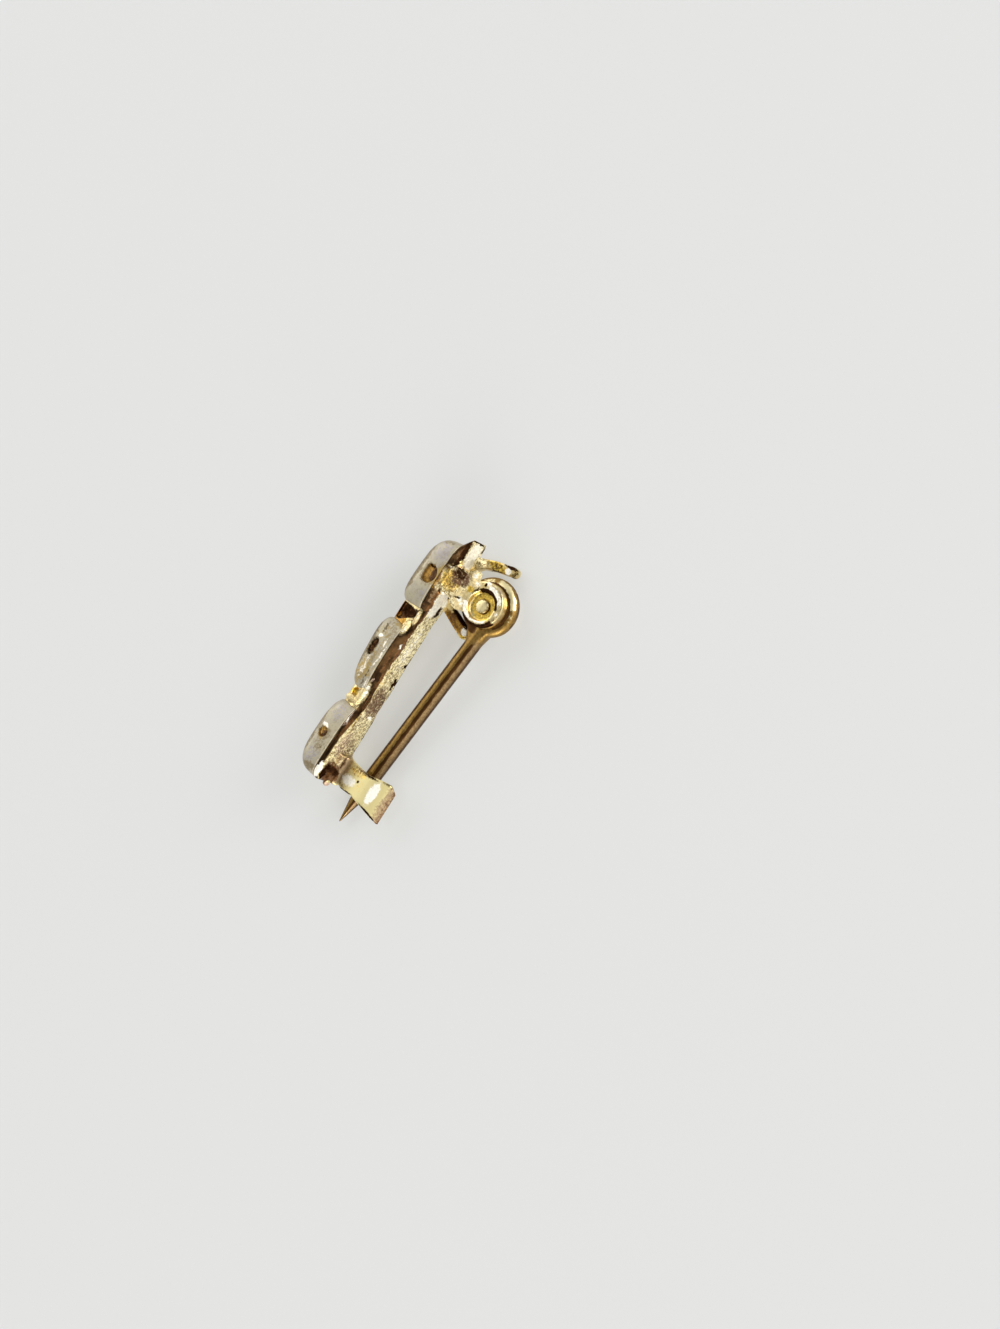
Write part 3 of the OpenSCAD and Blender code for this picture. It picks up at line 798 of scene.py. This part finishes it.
gold = {
    "voxel": 0.056,
    "smoothing": 3,
    "lumpDetail": 4,
    "lumpGrain": 0.6,
    # Columns: along the bar, height, distance from the centre plane, three radii
    "solder": [
        [-6.15, -0.12, 1.14, 0.74, 0.42, 0.32],
        [-6.05, 0.75, 1.2, 0.6, 0.85, 0.2],
        [-7.4, 1.75, 1.05, 0.28, 0.32, 0.3],
        [-6.98, 2.0, 1.15, 0.3, 0.5, 0.26],
        [-5.3, 1.65, 1.12, 0.42, 0.55, 0.24],
        [-7.98, 0.72, -0.35, 0.36, 0.45, 0.4],
        [-2.15, -0.62, 0.98, 0.55, 0.2, 0.22],
        [-3.05, -0.32, 0.88, 0.45, 0.12, 0.16],
        [2.85, -0.75, 0.92, 0.85, 0.24, 0.2],
        [3.4, -1.3, 0.88, 0.24, 0.4, 0.16],
        [8.68, 0.38, 0.72, 0.26, 0.2, 0.36],
        [-5.83, -0.93, 0.93, 1.0, 0.85, 0.38],
        [-0.1, -1.62, 0.92, 0.85, 0.5, 0.4],
        [6.1, -1.4, 0.95, 0.6, 0.56, 0.38],
    ],
    # How many of the first lumps are cast and grainy
    "grainyLumps": 6,
    # Columns as in the rows of spots
    "dents": [
        ["strip", -3.8, -3.5, 0.45, 1.8, -12, 1], ["strip", -0.05, -1.5, 0.16, 2.2, 30, 1],
        ["strip", 1.3, -2.2, 0.5, 1.8, 0, 1], ["strip", -5.15, -0.6, 0.25, 1.4, 0, 1],
        ["strip", -7.9, 1.5, 0.3, 1.4, 0, 0.7], ["strip", 2.4, -9, 0.3, 1.5, 0, 0.6],
    ],
    "dentDepth": 0.07,
    # Among the spots, rose on the walls, the ear's ring and the catch's lip is painted glints and
    # reflection, tan on the catch's lip and the walls painted shade and reflection, and brown in the pit,
    # slot and holes and on the catch's lip painted shade
    "spots": {
        "olive": [
            ["core", 3.0, -31, 0.34, 4.4, 0, 1], ["core", 6.2, -35, 0.45, 7, 0, 0.9],
            ["strip", 2.9, -6, 0.95, 6, 0, 0.35], ["strip", 0.9, -5, 0.5, 3, 0, 0.3],
            ["catch", 7.15, 17, 0.3, 12, 0, 0.5], ["catch", 7.9, 24, 0.6, 7, 0, 0.25],
            ["prong", -8.4, 24, 0.32, 12, 0, 1], ["prong", -3.6, 30, 0.3, 4, 0, 0.9],
            ["joint", -5.9, 33, 1.0, 14, 0, 1], ["joint", -6.1, -9, 0.75, 13, 0, 0.68],
            ["strip", 1.8, -12, 2.4, 2, 0, 0.35], ["strip", 5.4, -4, 1.2, 3, 0, 0.3],
            ["joint", -6.3, 12, 0.25, 4, 0, 0.8], ["strip", 5, -14, 1.5, 2, -3, 0.4],
        ],
        "amber": [
            ["core", -5.75, -31, 0.9, 12, 0, 1.2], ["pit", -2.85, -34, 0.8, 10, 0, 1],
            ["prong", -4.0, 17, 1.1, 6, 70, 0.95], ["joint", -5.6, -3, 0.3, 4, 0, 0.4],
            ["core", -0.1, -41, 0.85, 5, 0, 0.7], ["joint", -6.3, 28, 0.12, 8, 0, 0.5],
            ["core", -2.35, -33, 0.45, 8, 0, 1], ["joint", -6.2, 40, 0.6, 2.5, 0, 0.5],
            ["core", 6.2, -35, 0.45, 7, 0, 0.72],
        ],
        "rose": [
            ["wall", 1.8, -22, 0.22, 1.3, 0, 1], ["wall", 4.5, -22.5, 0.6, 3.4, -3, 1],
            ["strip", 6.2, -12, 1.1, 6, 0, 0.5], ["strip", 8.35, -8, 0.42, 7, 0, 0.45],
            ["catch", 8.4, 54, 0.7, 4, 0, 0.5], ["end", 9.0, -3, 0.4, 6, 0, 0.8],
            ["joint", -7.0, 38, 0.35, 14, 0, 0.5],
        ],
        "tan": [
            ["catch", 8.0, 67, 5.0, 17, 0, 1.05], ["catch", 7.5, 1, 1.2, 6, 0, 0.8],
            ["strip", 7.5, 0, 1.2, 5, 0, 1], ["strip", 6.9, -8, 0.7, 6, 0, 0.6],
            ["wall", -4.65, -16.5, 0.6, 3.0, 0, 0.45], ["wall", -8.0, -17, 0.9, 2, 0, 0.35],
            ["strip", 6.2, -8, 1.3, 8, 0, 0.45], ["joint", -6.6, -4, 0.9, 9, 0, 0.5],
        ],
        "butter": [
            ["core", -3.58, -28, 0.14, 11, 0, 1], ["core", -3.05, -17.8, 0.6, 1.8, 0, 1],
            ["core", -2.1, -22.3, 0.65, 3.2, -5, 1], ["core", 2.85, -23, 1.05, 4.6, 0, 1],
            ["core", 3.45, -31, 0.35, 7, 0, 0.9], ["joint", -5.4, 8, 0.7, 7, 30, 1],
            ["joint", -7.2, 9.5, 0.25, 4, 0, 0.9], ["joint", -6.8, 14, 0.25, 8, 0, 0.9],
            ["prong", -8.0, 9, 0.5, 5, 0, 0.7],
        ],
        "brown": [
            ["strip", -3.9, -13.3, 1.7, 2.0, 0, 0.9], ["strip", -0.9, -14.9, 2.2, 1.6, 0, 0.9],
            ["strip", 2.2, -15.6, 1.6, 1.4, 0, 0.9], ["strip", 5.2, -19.3, 1.4, 2.2, -8, 0.9],
            ["strip", 4.0, -17, 0.8, 1.6, -20, 0.8], ["joint", -6.1, -8, 0.8, 10, 0, 0.44],
            ["pit", -3.1, -28, 0.7, 12, 0, 0.9], ["strip", 2.9, -7, 1.4, 8, 0, 0.62],
            ["strip", 0.9, -8, 1.4, 6, 0, 0.36], ["strip", 4.9, -9, 1.6, 6, 0, 0.34],
            ["catch", 8.0, 68, 5, 15, 0, 0.62], ["core", 6.15, -33, 0.5, 5, 0, 0.62],
            ["strip", 8.15, -8.5, 0.8, 9.5, 0, 1.1], ["foot", -6.62, -3, 0.8, 13, 0, 0.7],
            ["strip", 7.2, -2, 0.5, 2.5, 0, 0.5], ["strip", 6.4, -9, 1.2, 9, 0, 0.42],
            ["strip", 2.9, -2, 1.0, 3, 0, 0.6], ["joint", -5.9, -16, 0.9, 4, 0, 0.4],
            ["core", -2.55, -34, 0.3, 6, 0, 0.5], ["prong", -8.4, 22, 0.4, 12, 0, 0.47],
            ["prong", -4.1, 18, 1.3, 6, 70, 0.42], ["strip", 4.6, -13, 1.2, 2, -3, 0.45],
            ["catch", 7.1, 14, 0.4, 10, 0, 0.38], ["catch", 8.45, 9, 0.25, 6, 0, 0.42],
            ["wall", -4.65, -16, 0.7, 3, 0, 0.4], ["joint", -5.3, 3, 0.3, 3, 20, 0.5],
            ["catch", 6.95, 24, 0.16, 14, 0, 0.6], ["wall", 0.2, -20, 1.2, 1.6, 0, 0.6],
            ["wall", -8.2, -17, 0.6, 1.6, 0, 0.6], ["core", -5.9, -25.5, 0.6, 5, 0, 0.9],
            ["core", -0.1, -41, 0.9, 5, 0, 0.8], ["core", 6.15, -32, 0.4, 3, 0, 0.6],
            ["prong", -4.2, 12, 0.5, 5, 70, 0.6], ["strip", 3.3, 0, 1.2, 1.2, 0, 0.5],
        ],
        # Mostly painted shade in pits, dents, holes and along outlines; a few rows are dark stains
        "shadeAndStain": [
            ["core", -6.28, -33, 0.1, 6, 0, 0.8], ["core", -0.15, -41, 0.75, 3.6, 0, 0.6],
            ["pit", -3.12, -26, 0.55, 11, 0, 0.66], ["strip", -3.95, -3.3, 0.55, 1.9, -10, 0.75],
            ["strip", -0.05, -1.5, 0.15, 2.2, 30, 0.9], ["strip", 1.3, -2.2, 0.5, 1.6, 0, 0.9],
            ["strip", -5.2, -0.9, 0.26, 1.2, 0, 0.8], ["strip", 7.9, -8, 0.35, 9, 0, 0.72],
            ["strip", 8.35, -14.5, 0.5, 3, 0, 0.8], ["strip", -8.1, -13.2, 1.3, 2.6, 0, 0.9],
            ["strip", -9.02, -6, 0.1, 8, 0, 0.9], ["strip", -8.8, 2.6, 0.3, 1.4, 0, 0.7],
            ["foot", -6.8, -5, 0.4, 8, 10, 0.6], ["catch", 6.95, 28, 0.1, 10, 0, 0.7],
            ["catch", 7.65, 20, 0.12, 1.5, 0, 0.8], ["catch", 8.56, 13, 0.06, 9, 0, 0.85],
            ["catch", 9.0, 44.5, 0.95, 1.2, 72.8, 0.9], ["catch", 6.8, 50, 0.16, 9, 0, 0.5],
            ["prong", -4.38, 21, 1.0, 3.0, 70, 1], ["prong", -8.8, 36, 0.12, 9, 0, 0.8],
            ["prong", -8.1, 24, 0.07, 8, 20, 0.8], ["prong", -8.5, 42, 0.3, 3, 0, 0.6],
            ["joint", -7.1, 22.5, 0.14, 1.8, 0, 0.95], ["joint", -5.75, 36.8, 0.36, 1.8, 0, 0.85],
            ["joint", -6.45, 17, 0.25, 1.4, -30, 0.6], ["joint", -5.9, -8, 0.12, 2, 0, 0.5],
            ["joint", -5.45, 5, 0.1, 5, 20, 0.6], ["joint", -6.2, 3, 0.14, 1.6, 0, 0.6],
        ],
        # Painted highlights on the rail's back, walls, catch, prongs and joint
        "paintedHighlight": [
            ["strip", -8.05, -3.5, 0.95, 6.4, 0, 1], ["strip", -4.5, -5.5, 1.1, 5.4, 0, 0.9],
            ["strip", 3.9, -4, 0.13, 2.6, 0, 1], ["strip", -5.0, 1.6, 0.16, 1.3, 0, 1],
            ["strip", -1.2, -7, 1.8, 4, 0, 0.4], ["catch", 7.88, 11, 0.36, 8.5, 0, 0.8],
            ["strip", -4.3, -9, 1.1, 3, 0, 0.8], ["core", -3.05, -17.8, 0.35, 1.2, 0, 0.5],
            ["core", -2.0, -22.8, 0.35, 1.6, -5, 0.5], ["core", 2.6, -22, 0.6, 2.4, 0, 0.6],
            ["wall", -0.9, -16.5, 0.32, 0.8, 0, 0.55], ["wall", 8.3, -20.5, 0.55, 3, 0, 1],
            ["wall", -6.9, -13.5, 0.07, 3.6, 0, 0.9], ["wall", 4.6, -22.5, 0.4, 1.8, 0, 0.5],
            ["catch", 7.8, 38.5, 0.8, 5, -2, 1.1], ["prong", -3.84, 29.5, 0.26, 4, 60, 1.2],
            ["prong", -8.52, 34, 0.22, 3.2, 0, 1.1], ["joint", -5.35, 9, 0.4, 4, 45, 0.6],
            ["joint", -7.2, 9.5, 0.2, 3, 0, 0.7], ["joint", -6.8, 15, 0.16, 4, 0, 0.6],
            ["joint", -7.2, 25, 0.2, 3, 30, 0.8],
        ],
    },
    # Columns as in the rows of arcs; round the ear's ring, bright is painted highlights, butter a painted
    # reflection and dark painted shade
    "arcs": {
        "paintedHighlight": [[1.24, 0.16, 112, 196, 0.65], [1.08, 0.12, -85, -5, 0.75], [1.02, 0.08, -20, 60, 0.7],
                   [1.2, 0.1, 80, 112, 0.55]],
        "butter": [[1.2, 0.3, 60, 210, 0.8], [1.1, 0.16, -95, 60, 0.9]],
        "shadeAndStain": [[0.99, 0.13, 95, 225, 1], [1.3, 0.16, -50, 75, 0.9]],
    },
    # Columns: along the bar, height of the rail's back face
    "backs": [[-6, 0.18], [-4.2, 0.1], [-3, 0], [0, -0.06], [3, 0.02], [4.2, 0], [5.8, -0.16]],
    # Columns: along the bar, half width of the rail's back face
    "halves": [[-6.9, 0.95], [-4.4, 0.775], [-3, 0.875], [4, 0.925], [5.8, 1.275]],
    "grain": {"Amount": 0.07, "Grains per mm": 4.5, "Seed": 3.0},
    # Where each finish begins and where it is full, in mm along, up, over the rail's back or
    # across the photo in pixels, and for a turn the share of a face that looks that way
    "zones": {
        "lump": (0.95, 1.4), "upper": (0.8, 1.0),
        "satinAlong": (6.3, 6.5), "satinOver": (0.35, 0.6),
        "backTurn": (0.74, 0.9), "backLow": (-0.12, -0.04), "backHigh": (0.3, 0.42),
        "wallTurn": (0.25, 0.45), "wallLow": (-0.85, -0.66), "wallHigh": (-0.07, 0.01),
        "edgeAcross": (-0.1, -0.03), "edgeAlong": (-3.5, -3.1),
        "shankTurn": (0.6, 0.9), "shankUp": (1.0, 1.2), "shankLow": (0, 0.3), "shankHigh": (1.5, 2.0),
        "rootAlong": (6.2, 6.5), "rootUp": (-1.1, -0.7), "rootLow": (-0.3, -0.15), "rootHigh": (0.75, 1.05),
        "lipAcross": (50, 60), "lipAlong": (6.7, 7.4),
    },
    "satinCalm": 0.75,  # how much less ragged marks are on satin metal
    "wallWander": 0.02,
    "edgeWander": 0.03,
    "edgeShade": 0.7,
    "rootSmoothing": 24,
    "rootLevels": 10,
    "catchFrom": 6.3,
    "lipFrom": 2.5,
    "lipCorner": 0.3,
}


def zone(values, name):
    return rise(values, *gold["zones"][name])


def ball(centre, radii):
    work = bmesh.new()
    bmesh.ops.create_icosphere(work, subdivisions=gold["lumpDetail"], radius=1)
    bmesh.ops.scale(work, vec=radii, verts=work.verts)
    bmesh.ops.translate(work, vec=centre, verts=work.verts)
    piece = newPiece("solder")
    work.to_mesh(piece.data)
    work.free()
    return piece


def grainTree():
    tree = bpy.data.node_groups.new("castGrainOverSurface", "GeometryNodeTree")
    tree.interface.new_socket("Geometry", in_out="INPUT", socket_type="NodeSocketGeometry")
    for label, value in gold["grain"].items():
        socket = tree.interface.new_socket(label, in_out="INPUT", socket_type="NodeSocketFloat")
        socket.default_value = value
    tree.interface.new_socket("Finish", in_out="INPUT", socket_type="NodeSocketMaterial")
    tree.interface.new_socket("Geometry", in_out="OUTPUT", socket_type="NodeSocketGeometry")
    start = tree.nodes.new("NodeGroupInput")
    end = tree.nodes.new("NodeGroupOutput")
    grains = place(tree, "ShaderNodeTexNoise", {"noise_dimensions": "4D"}, W=start.outputs["Seed"],
                   Scale=start.outputs["Grains per mm"], Detail=3.0, Roughness=0.6)
    tree.links.new(place(tree, "GeometryNodeInputPosition").outputs[0], grains.inputs["Vector"])
    cast = place(tree, "GeometryNodeInputNamedAttribute", {"data_type": "FLOAT"}, Name="cast")
    centred = maths(tree, "SUBTRACT", grains.outputs["Fac"], 0.5)
    amount = maths(tree, "MULTIPLY", centred, start.outputs["Amount"])
    amount = maths(tree, "MULTIPLY", amount, cast.outputs["Attribute"])
    push = place(tree, "ShaderNodeVectorMath", {"operation": "SCALE"}, Scale=amount)
    tree.links.new(place(tree, "GeometryNodeInputNormal").outputs[0], push.inputs[0])
    moved = place(tree, "GeometryNodeSetPosition", None, Geometry=start.outputs["Geometry"],
                  Offset=push.outputs[0])
    real = place(tree, "GeometryNodeRealizeInstances", None, Geometry=moved.outputs[0])
    finish = place(tree, "GeometryNodeSetMaterial", None, Geometry=real.outputs[0],
                   Material=start.outputs["Finish"])
    tree.links.new(finish.outputs[0], end.inputs[0])
    return tree


def setInput(modifier, label, value):
    for item in modifier.node_group.interface.items_tree:
        if item.item_type == "SOCKET" and item.in_out == "INPUT" and item.name == label:
            modifier[item.identifier] = value


def addGrain(piece, material):
    modifier = piece.modifiers.new("grain", "NODES")
    modifier.node_group = grainTree()
    for label, value in gold["grain"].items():
        setInput(modifier, label, value)
    setInput(modifier, "Finish", material)
    bake(piece)


# The part that a row of spots names, so that a spot stays on it
def frameParts(at):
    x, y, z = at.T
    return {
        "strip": (y > -0.35) & (y < 0.45),
        "wall": (y < 0.1) & (y > -0.85),
        "core": y < -0.1,
        "pit": (y < -0.42) & (np.abs(x + 2.93) < 0.6) & (z < 0.86),
        "foot": (z > 0.3) & (x < -5),
        "joint": (z > 0.45) & (x < -4) & (y > -0.6),
        "prong": (z < -0.25) & (x < -3) & (y > 0.4),
        "catch": (x > gold["catchFrom"]) & (y > 0.2),
        "end": x > 8.6,
    }


def lumpValues(at, rows):
    values = np.zeros(len(at))
    for row in rows:
        away = np.sqrt((((at - np.array(row[:3])) / np.array(row[3:])) ** 2).sum(axis=1))
        values = np.maximum(values, 1 - zone(away, "lump"))
    return values


def smoothRoot(piece):
    x, y, z = barPoints(piece)[0].T
    values = zone(x, "rootAlong") * (1 - zone(y, "rootHigh")) * zone(y, "rootLow") * zone(z, "rootUp")
    group = piece.vertex_groups.new(name="root")
    levels = gold["rootLevels"]
    for level in range(1, levels + 1):
        chosen = np.nonzero(np.round(values * levels) == level)[0]
        group.add(chosen.tolist(), level / levels, "REPLACE")
    addSmooth(piece, gold["rootSmoothing"], group.name)
    bake(piece)
    piece.vertex_groups.clear()


def roundLip(piece):
    at = barPoints(piece)[0]
    x, w = onPhoto(at)
    chosen = (at[:, 0] > gold["catchFrom"]) & (at[:, 1] > gold["lipFrom"])
    at[:, 0] += chosen * gold["lipCorner"] * zone(w, "lipAcross") * (1 - zone(x, "lipAlong"))
    movePoints(piece, at)


def dentFrame(piece):
    at, facing = barPoints(piece)
    dents = spotValues(at, facing, raggedness(at), gold["dents"], frameParts(at))
    at -= facing * (dents * gold["dentDepth"])[:, None]
    movePoints(piece, at)


def paintFrame(piece):
    at, facing = barPoints(piece)
    x, y, z = at.T
    over = y - np.interp(x, *zip(*gold["backs"]))
    half = np.interp(x, *zip(*gold["halves"]))
    satin = zone(x, "satinAlong") * zone(over, "satinOver")
    ragged = raggedness(at) * (1 - gold["satinCalm"] * satin)[:, None]
    back = zone(facing[:, 1], "backTurn") * zone(over, "backLow") * (1 - zone(over, "backHigh"))
    # Walls that face up, below the lobes, take the wall tones: a painted dark reflection
    wallTop = zone(over + gold["wallWander"] * ragged[:, 0], "wallHigh")
    wall = zone(facing[:, 2], "wallTurn") * (1 - wallTop) * zone(y, "wallLow") * (1 - back)
    # Painted shade along the low edge of the rail's back
    lowEdge = zone(-z - half + gold["edgeWander"] * ragged[:, 1], "edgeAcross")
    edge = gold["edgeShade"] * back * lowEdge * zone(x, "edgeAlong")
    cast = lumpValues(at, gold["solder"][:gold["grainyLumps"]])
    smooth = lumpValues(at, gold["solder"][gold["grainyLumps"]:])
    shank = zone(facing[:, 2], "shankTurn") * zone(z, "shankUp")
    shank *= zone(y, "shankLow") * (1 - zone(y, "shankHigh"))
    paint(piece, "cast", np.maximum.reduce([back, cast, shank, gold["lumpGrain"] * smooth]))
    paint(piece, "wall", wall * (1 - cast) * (1 - smooth))
    paint(piece, "satin", satin)
    parts = frameParts(at)
    for name, rows in gold["spots"].items():
        values = spotValues(at, facing, ragged, rows, parts)
        if name in gold["arcs"]:
            rings = arcValues(at, ragged, gold["arcs"][name])
            values = np.maximum(values, rings * zone(z, "upper") * parts["joint"])
        # The painted shade along the low edge joins the dark marks
        if name == "shadeAndStain":
            values = np.maximum(values, edge)
        paint(piece, name, values)


def makeGoldFrame():
    lumps = [ball(barMiddle + Vector(row[:3]), row[3:]) for row in gold["solder"]]
    piece = joined([nodeCopy("gold_frame", "goldFrame")] + lumps)
    fuse(piece, gold["voxel"], gold["smoothing"])
    smoothRoot(piece)
    roundLip(piece)
    dentFrame(piece)
    paintFrame(piece)
    addGrain(piece, yellowGold)
    finishPiece(piece, yellowGold, "bar", "yellow_gold", "gold_frame")


makeGoldFrame()


# Stem and rivet

stem = {
    "voxel": 0.04,
    "smoothing": 3,
    "eyeShift": 0.13,  # from the hinge to the eye's middle
    "eyeSwell": 0.07,
    # Where the swell grows, from the eye's middle, and where it fades along the wire
    "swellFrom": (1.45, 1.8),
    "swellTo": (0.6, 1.8),
    "wireTurn": 7.2,  # degrees towards the bar
    "wireDip": 4,  # degrees down into the catch
    "wireFrom": (1.7, 2.4),
    # A painted dark reflection line and painted shade at the rims along the wire, by how far a face looks
    # to the wire's side
    "linesFrom": (2.0, 2.7),
    "line": (0.1, 0.32),
    "lineShift": 0.03,
    "rim": (0.6, 0.9),
    "rimDark": 0.8,
    "farSide": (-0.1, 0.15),
    "sideWander": 0.05,
    # Columns as in the rows of arcs; bright is painted highlights round the eye and dark painted shade
    "paintedHighlight": [[1.7, 0.15, 105, 195, 0.8], [1.7, 0.12, 75, 115, 0.35], [1.66, 0.12, 190, 235, 0.5]],
    "shadeAndStain": [[1.5, 0.09, 40, 240, 0.85], [2.0, 0.08, 60, 230, 0.75], [1.62, 0.3, -90, 14, 0.9]],
}


def paintStem(piece):
    at, facing = barPoints(piece)
    ragged = raggedness(at)
    turn, dip = math.radians(stem["wireTurn"]), math.radians(stem["wireDip"])
    wire = Vector((math.cos(turn), -math.sin(turn), -math.sin(dip)))
    across = np.array(viewAxes()[2].cross(wire).normalized())
    side = facing @ across + stem["sideWander"] * ragged[:, 0]
    along = at[:, 0] - hingeX
    onWire = rise(along, *stem["wireFrom"])
    line = 1 - rise(np.abs(side + stem["lineShift"]), *stem["line"])
    rim = stem["rimDark"] * rise(np.abs(side), *stem["rim"])
    lines = rise(along, *stem["linesFrom"]) * np.maximum(line, rim)
    eye = at + np.array([stem["eyeShift"], 0, 0])
    rings = arcValues(eye, ragged, stem["shadeAndStain"]) * (1 - onWire)
    # Painted reflection on the wire's far side, by which way a face looks across the view
    paint(piece, "far", onWire * rise(side, *stem["farSide"]))
    # Painted shade round the eye and at the wire's rims, and a painted dark reflection line along its top
    paint(piece, "shadeAndStain", np.maximum(lines, rings))
    # Painted highlights round the eye
    paint(piece, "paintedHighlight", (1 - onWire) * arcValues(eye, ragged, stem["paintedHighlight"]))


def swellEye(piece):
    at = barPoints(piece)[0]
    along = at[:, 0] - hingeX
    x, y = along + stem["eyeShift"], at[:, 1] - hingeRise
    radius = np.hypot(x, y)
    swell = stem["eyeSwell"] * rise(radius, *stem["swellFrom"]) * (1 - rise(along, *stem["swellTo"]))
    at[:, 0] += x * swell / radius
    at[:, 1] += y * swell / radius
    movePoints(piece, at)


def makeStem():
    piece = nodeCopy("pin_stem", "pinStem")
    fuse(piece, stem["voxel"], stem["smoothing"])
    swellEye(piece)
    paintStem(piece)
    finishPiece(piece, stemBronze, "stem", "stem_bronze", "pin_stem")


rivet = {
    "voxel": 0.03,
    "smoothing": 4,
    # The painted highlight on the rivet's head, and how much of it is lost towards the rim
    "paintedShine": 0.75,
    "rimLoss": 0.35,
    "rimFrom": (0.25, 0.45),
    "wander": 0.03,
}


def makeRivet():
    piece = nodeCopy("rivet", "rivetPeened")
    fuse(piece, rivet["voxel"], rivet["smoothing"])
    at = barPoints(piece)[0]
    radius = np.hypot(at[:, 0] - hingeX, at[:, 1] - hingeRise) + rivet["wander"] * raggedness(at)[:, 0]
    for name in ("far", "shadeAndStain"):
        paint(piece, name, np.zeros(len(at)))
    # Painted highlight on the rivet's head, less of it towards the rim
    paint(piece, "paintedHighlight", rivet["paintedShine"] - rivet["rimLoss"] * rise(radius, *rivet["rimFrom"]))
    finishPiece(piece, stemBronze, "bar", "stem_bronze", "rivet")


makeStem()
makeRivet()
print("stem and rivet made")


# Floor and light

studio = {
    "floorHalf": 400,
    "floorColour": (0.27, 0.285, 0.315),
    "floorGlow": (0.43, 0.422, 0.39),
    "floorRoughness": 0.85,
    "top": (0.12, 0.12, 0.12),
    "front": (0.7, 0.7, 0.69),
    "behind": (1.6, 1.56, 1.45),
    # How high and how far back the sky's colours begin and are full
    "topFrom": (0.6, 0.82),
    "behindFrom": (0.1, 0.85),
    # name: direction, distance, size, power in watts, colour
    "boxes": {
        "window": [(-0.22, -0.88, 0.5), 420, 520, 1.3, (1.0, 0.99, 0.96)],
        "fillHinge": [(-0.75, 0.6, 0.3), 380, 200, 1.0, (1.0, 0.98, 0.93)],
        "fillCatch": [(0.8, 0.55, 0.28), 380, 200, 0.9, (1.0, 0.98, 0.93)],
        "lamp": [(0.06, 0.0, 1.0), 300, 60, 0.06, (1.0, 0.97, 0.92)],
    },
}


def makeFloor():
    w = studio["floorHalf"]
    floor = newPiece("floor", [(-w, -w, 0), (w, -w, 0), (w, w, 0), (-w, w, 0)], [(0, 1, 2, 3)])
    floor.data.transform(Matrix.Scale(mm, 4))
    material, tree, shader = newMaterial("palePaper")
    shader.inputs["Base Color"].default_value = (*studio["floorColour"], 1)
    shader.inputs["Roughness"].default_value = studio["floorRoughness"]
    shader.inputs["Emission Color"].default_value = (*studio["floorGlow"], 1)
    shader.inputs["Emission Strength"].default_value = 1.0
    floor.data.materials.append(material)


def makeWorld():
    world = bpy.data.worlds.new("softRoom")
    world.use_nodes = True
    tree = world.node_tree
    towards = place(tree, "ShaderNodeTexCoord").outputs["Generated"]
    sky = place(tree, "ShaderNodeSeparateXYZ", None, Vector=towards)
    high = ranged(tree, sky.outputs["Z"], *studio["topFrom"])
    back = ranged(tree, sky.outputs["Y"], *studio["behindFrom"])
    around = blended(tree, back, studio["front"], studio["behind"])
    colour = blended(tree, high, around, studio["top"])
    tree.links.new(colour, tree.nodes["Background"].inputs["Color"])
    bpy.context.scene.world = world


def makeLights():
    for name, (direction, distance, size, watts, colour) in studio["boxes"].items():
        data = bpy.data.lights.new(name, "AREA")
        data.size = size * mm
        data.energy = watts
        data.color = colour
        light = bpy.data.objects.new(name, data)
        bpy.context.scene.collection.objects.link(light)
        towards = Vector(direction).normalized()
        light.location = (barMiddle + towards * distance) * mm
        light.rotation_euler = towards.to_track_quat("Z", "Y").to_euler()


makeFloor()
makeWorld()
makeLights()
bpy.context.scene.view_settings.view_transform = "Standard"
print("floor and light made")
